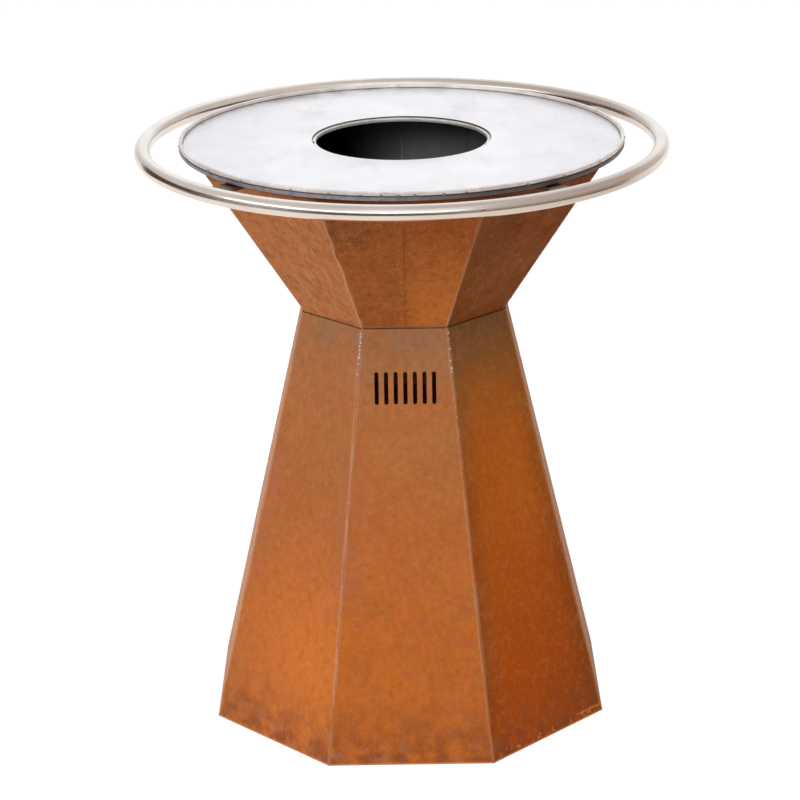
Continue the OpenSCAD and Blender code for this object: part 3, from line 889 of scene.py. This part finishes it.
rim_tacks = bead_angles("rim_tack_welds", 2)
hole_tacks = bead_angles("inner_tack_welds", 10)
print("rim tacks:", len(rim_tacks), "hole tacks:", len(hole_tacks))

# %% [markdown]
# The griddle plate is a disc with a hole, cut by plasma or laser and then broken along its
# edges with a file. A spun profile with softened corners gives both edges at once.

# %% Griddle plate
HOLE_R = hole_high.x
EDGE_BREAK = 0.7 * MM
plate = spun_ring(box_corners(HOLE_R, plate_high.x, plate_low.z, plate_high.z), EDGE_BREAK,
    steps=288)
finish_piece(plate, "griddle_disc", "griddle", ground_plate,
    ["griddle_plate"])

# %% [markdown]
# Each hoop is a bar rolled to a ring and closed with one weld. Rolled bar is never quite
# round: it wanders inwards by a few tenths of a millimetre. The points near a tack get
# their heat here, strongest at the weld and gone 16 mm away.

# %% Hoops of the griddle
BAR = 6 * MM
BAR_EDGE = 0.9 * MM
HEAT_REACH = 16 * MM
# The waves of an uneven hoop, per metre
WAVES = 12


def heat_from(mesh, angles, reach):
    """Writes how near each point is to one of the welds, 1 at the weld and 0 at reach."""
    layer = mesh.verts.layers.float.new("heat")
    for vert in mesh.verts:
        flat = vert.co.to_2d()
        here = math.atan2(flat.y, flat.x)
        gap = min(abs(math.remainder(here - angle, math.tau)) for angle in angles)
        vert[layer] = max(0.0, 1 - gap * flat.length / reach)


def rolled_hoop(outer, low, high, tacks, wander):
    """A hoop of square bar with soft edges, slightly out of round."""
    hoop = spun_ring(box_corners(outer - BAR, outer, low, high), BAR_EDGE, steps=480)
    for vert in hoop.verts:
        flat = vert.co.to_2d()
        off = wander * (noise.noise(Vector((flat.x * WAVES, flat.y * WAVES, 5))) - 1) / 2
        vert.co.x *= 1 + off / flat.length
        vert.co.y *= 1 + off / flat.length
    heat_from(hoop, tacks, HEAT_REACH)
    return hoop


finish_piece(rolled_hoop(rim_high.x, rim_low.z, rim_high.z, rim_tacks, wander=0.8 * MM),
    "rim_hoop_bar", "griddle", drawn_bar, ["griddle_rim_hoop"])
finish_piece(rolled_hoop(hole_high.x, hole_low.z, hole_high.z, hole_tacks, wander=0.5 * MM),
    "inner_hoop_bar", "griddle", drawn_bar, ["griddle_inner_hoop"])

# %% [markdown]
# A tack is a drop of weld metal a few millimetres long. No two are alike, so each one starts
# as a ball, is dented by noise and is then pressed to its size where hoop and plate meet.

# %% Tack welds of the griddle
DENT = 0.30


def add_drop(mesh, half_sizes, place, seed, rust=None):
    """Adds one uneven drop of weld metal, and writes its rust on its points if it has any."""
    layers = mesh.verts.layers.float
    if rust is not None and "rust" not in layers:
        layers.new("rust")
    ball = bmesh.ops.create_icosphere(mesh, subdivisions=3, radius=1)["verts"]
    for vert in ball:
        vert.co *= 1 + DENT * noise.noise(vert.co * 1.6 + Vector((seed * 7.3, 0, seed)))
        if rust is not None:
            vert[layers["rust"]] = rust
    bmesh.ops.transform(mesh, matrix=place @ Matrix.Diagonal((*half_sizes, 1)), verts=ball)


def tack_drops(angles, radius, height, half_sizes, rusty, seed):
    """Drops at the given angles of a ring; rusty is the share of them that is all rust."""
    mesh = bmesh.new()
    dice = random.Random(seed)
    for i, angle in enumerate(angles):
        size = [part * dice.uniform(0.8, 1.4) for part in half_sizes]
        place = turned(angle, (radius, 0, height)) @ Matrix.Rotation(
            dice.uniform(-0.15, 0.15), 4, "X")
        # The rain comes from the right, where every tack has some rust
        old_rust = (0.2, 0.6) if math.cos(angle) > -0.1 else (0.0, 0.15)
        share = dice.uniform(*old_rust) if dice.random() > rusty else 0.95
        add_drop(mesh, size, place, seed + i, share)
    return mesh


rim_drops = tack_drops(rim_tacks, rim_high.x - 0.2 * MM, plate_high.z + 0.3 * MM,
    (1.3 * MM, 3.0 * MM, 1.6 * MM), rusty=0.10, seed=3)
hole_drops = tack_drops(hole_tacks, HOLE_R - 1.2 * MM, hole_high.z + 0.2 * MM,
    (1.8 * MM, 4.2 * MM, 1.3 * MM), rusty=0.25, seed=5)
finish_piece(rim_drops, "rim_tack_drops", "griddle", tack_metal,
    ["rim_tack_welds"])
finish_piece(hole_drops, "hole_tack_drops", "griddle", tack_metal,
    ["inner_tack_welds"])

# %% [markdown]
# The rail is one round tube bent to a full ring and closed by a weld. A spun circle gives
# the ring. The closing weld has been polished almost flush, so it is a low band of drops of
# the same metal round the tube, and only its last crater is left grey.

# %% Stainless rail
RAIL_HEAT_REACH = 14 * MM
weld_low, weld_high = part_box("rail_closing_weld")
weld_angle = math.atan2((weld_low.y + weld_high.y) / 2, (weld_low.x + weld_high.x) / 2)
rail = bmesh.new()
bmesh.ops.create_circle(rail, segments=36, radius=TUBE_R)
bmesh.ops.transform(rail, matrix=Matrix.Translation((RAIL_R, 0, RAIL_Z))
    @ Matrix.Rotation(math.pi / 2, 4, "X"), verts=rail.verts)
spin(rail, steps=360)
heat_from(rail, [weld_angle], RAIL_HEAT_REACH)
finish_piece(rail, "rail_ring", "rail", satin_tube, ["rail_tube"])

# %% Closing weld of the rail
closing = bmesh.new()
DROPS_ROUND = 22


def on_tube(round_angle, out):
    """A place on the tube at the closing weld, out metres beyond the tube's own radius."""
    return (turned(weld_angle, (RAIL_R, 0, RAIL_Z)) @ Matrix.Rotation(round_angle, 4, "Y")
        @ Matrix.Translation((TUBE_R + out, 0, 0)))


for i in range(DROPS_ROUND):
    add_drop(closing, (0.6 * MM, 1.8 * MM, 2.4 * MM),
        on_tube(math.tau * i / DROPS_ROUND, -0.45 * MM), 40 + i)
finish_piece(closing, "rail_closing_bead", "rail", satin_tube,
    ["rail_closing_weld"])

crater = bmesh.new()
add_drop(crater, (0.5 * MM, 4.5 * MM, 1.5 * MM), on_tube(-0.08, -0.1 * MM), 77, rust=0.3)
finish_piece(crater, "rail_closing_crater", "rail", tack_metal)

# %% [markdown]
# Long beads run down the corners of both pyramids. A bead starts as a cylinder along its seam,
# is cut into short lengths, and each ring of points is then moved: noise makes it swell
# and wander, and the slope of the corner leans it over without tilting its ends. The
# grinder has taken the beads down almost to the sheets, but missed one of the bowl's at
# the front left. Where the bowl sits in the base its beads are flatter, to let it in.

# %% Corner beads
BEAD_HALF_WIDTH = 2.1 * MM
BEAD_HALF_DEPTH = 2.2 * MM
BEAD_STEP = 2.5 * MM
# What the grinder leaves of a bead's depth where the bowl sits in the base
FLUSH = 0.62
# How often a bead swells, drifts and sways, per metre
SWELLS, DRIFTS, SWAYS = 220, 45, 28
CORNER_ANGLES = [math.pi / 8 + math.pi / 4 * i for i in range(8)]


def add_bead(mesh, low, high, foot, slope, angle, seed, sink, wobble, sway=0.0):
    """Adds a bead between two heights, on a corner of the pyramid with this foot and slope."""
    start = len(mesh.verts)
    length = high - low
    bmesh.ops.create_cone(mesh, cap_ends=True, cap_tris=False, segments=10, radius1=1,
        radius2=1, depth=length)
    mesh.verts.ensure_lookup_table()
    ends = set(mesh.verts[start:])
    sides = [e for e in mesh.edges if ends.issuperset(e.verts)
        and abs(e.verts[0].co.z - e.verts[1].co.z) > length / 2]
    bmesh.ops.subdivide_edges(mesh, edges=sides, cuts=int(length / BEAD_STEP),
        use_grid_fill=True)
    mesh.verts.ensure_lookup_table()
    for vert in mesh.verts[start:]:
        height = vert.co.z + (low + high) / 2
        swell = 1 + wobble * noise.noise(Vector((height * SWELLS, seed, 0)))
        drift = wobble * noise.noise(Vector((height * DRIFTS, seed, 9)))
        drift += sway * noise.noise(Vector((height * SWAYS, seed, 4)))
        flush = FLUSH if bowl_low < height < base_height + MM and slope > 0 else 1.0
        out = vert.co.x * BEAD_HALF_DEPTH * swell * flush
        vert.co.x = (foot + slope * height) * CORNER - sink + out
        vert.co.y = (vert.co.y * swell + drift) * BEAD_HALF_WIDTH
        vert.co.z = height
    bmesh.ops.rotate(mesh, verts=mesh.verts[start:], cent=(0, 0, 0),
        matrix=Matrix.Rotation(angle, 3, "Z"))


# How deep a bead of the bowl sinks into its corner, how much it wobbles and how much it sways
GROUND_DOWN = {"sink": 1.95 * MM, "wobble": 0.2, "sway": 0.4}
LEFT_ROUGH = {"sink": 1.5 * MM, "wobble": 0.45, "sway": 1.5}
ROUGH_CORNER = 5
base_beads = bmesh.new()
bowl_beads = bmesh.new()
for i, angle in enumerate(CORNER_ANGLES):
    add_bead(base_beads, 0, base_height, base_foot, base_slope, angle, 11 + i,
        sink=GROUND_DOWN["sink"], wobble=0.12)
    add_bead(bowl_beads, bowl_low, bowl_high, bowl_foot, bowl_slope, angle, 31 + i,
        **(LEFT_ROUGH if i == ROUGH_CORNER else GROUND_DOWN))
finish_piece(bowl_beads, "bowl_corner_beads", "bowl", pale_weld,
    ["bowl_corner_welds"])

# %% [markdown]
# Near the mouth of the base the welder left a row of small drops on each corner that were
# never ground off. They join the base's beads as one piece.

# %% Spatter on the base's corners
# Depths below the mouth in millimetres, and sizes, on the front left and front right corner
SPATTER = {
    5: [(7, 1.9), (12, 2.0), (17, 1.8), (22, 2.1), (28, 1.9), (34, 2.0), (40, 2.0), (46, 2.3),
        (56, 1.6), (74, 1.6), (96, 1.2)],
    6: [(8, 1.9), (18, 1.6), (34, 1.9), (53, 1.9), (66, 2.3), (71, 2.0)],
}
OTHER_CORNERS = [(15, 1.2), (38, 1.0), (61, 1.1)]
dice = random.Random(8)
for i, angle in enumerate(CORNER_ANGLES):
    for k, (drop, size) in enumerate(SPATTER.get(i, OTHER_CORNERS)):
        height = base_height - drop * MM
        out = (base_foot + base_slope * height) * CORNER - 0.3 * MM
        place = turned(angle, (out, dice.uniform(-1.0, 1.0) * MM, height))
        size *= dice.uniform(0.85, 1.15) * MM
        add_drop(base_beads, (size * 0.7, size, size * 1.2), place, 60 + i * 12 + k)
finish_piece(base_beads, "base_corner_beads", "base", pale_weld,
    ["base_corner_welds"])

# %% [markdown]
# Every arm is welded to the tube, and the weld that shows lies where its upper face meets
# the tube. A weld in such a corner is a short row of overlapping drops, so each bead is a
# chain of them across the arm.

# %% Welds between arms and tube
DROPS_ACROSS = 9
arm_welds = bmesh.new()
ARMS = ["rail_arm_front_left", "rail_arm_front_right", "rail_arm_back_left",
    "rail_arm_back_right"]
for n, arm in enumerate(ARMS):
    points = [v.co for v in frame["nodes"][arm].data.vertices]
    angle = math.atan2(sum(p.y for p in points), sum(p.x for p in points))
    half_width = max(p.y * math.cos(angle) - p.x * math.sin(angle) for p in points)
    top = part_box(arm)[1].z
    lift = RAIL_Z - top
    touch = RAIL_R - math.sqrt(TUBE_R * TUBE_R - lift * lift)
    for k in range(DROPS_ACROSS):
        across = half_width * (2 * k / (DROPS_ACROSS - 1) - 1) * 0.95
        place = turned(angle, (touch - 0.6 * MM, across, top + 0.6 * MM))
        add_drop(arm_welds, (2.6 * MM, 3.0 * MM, 2.0 * MM), place, 120 + n * DROPS_ACROSS + k,
            rust=0.35)
finish_piece(arm_welds, "rail_arm_beads", "rail", tack_metal)
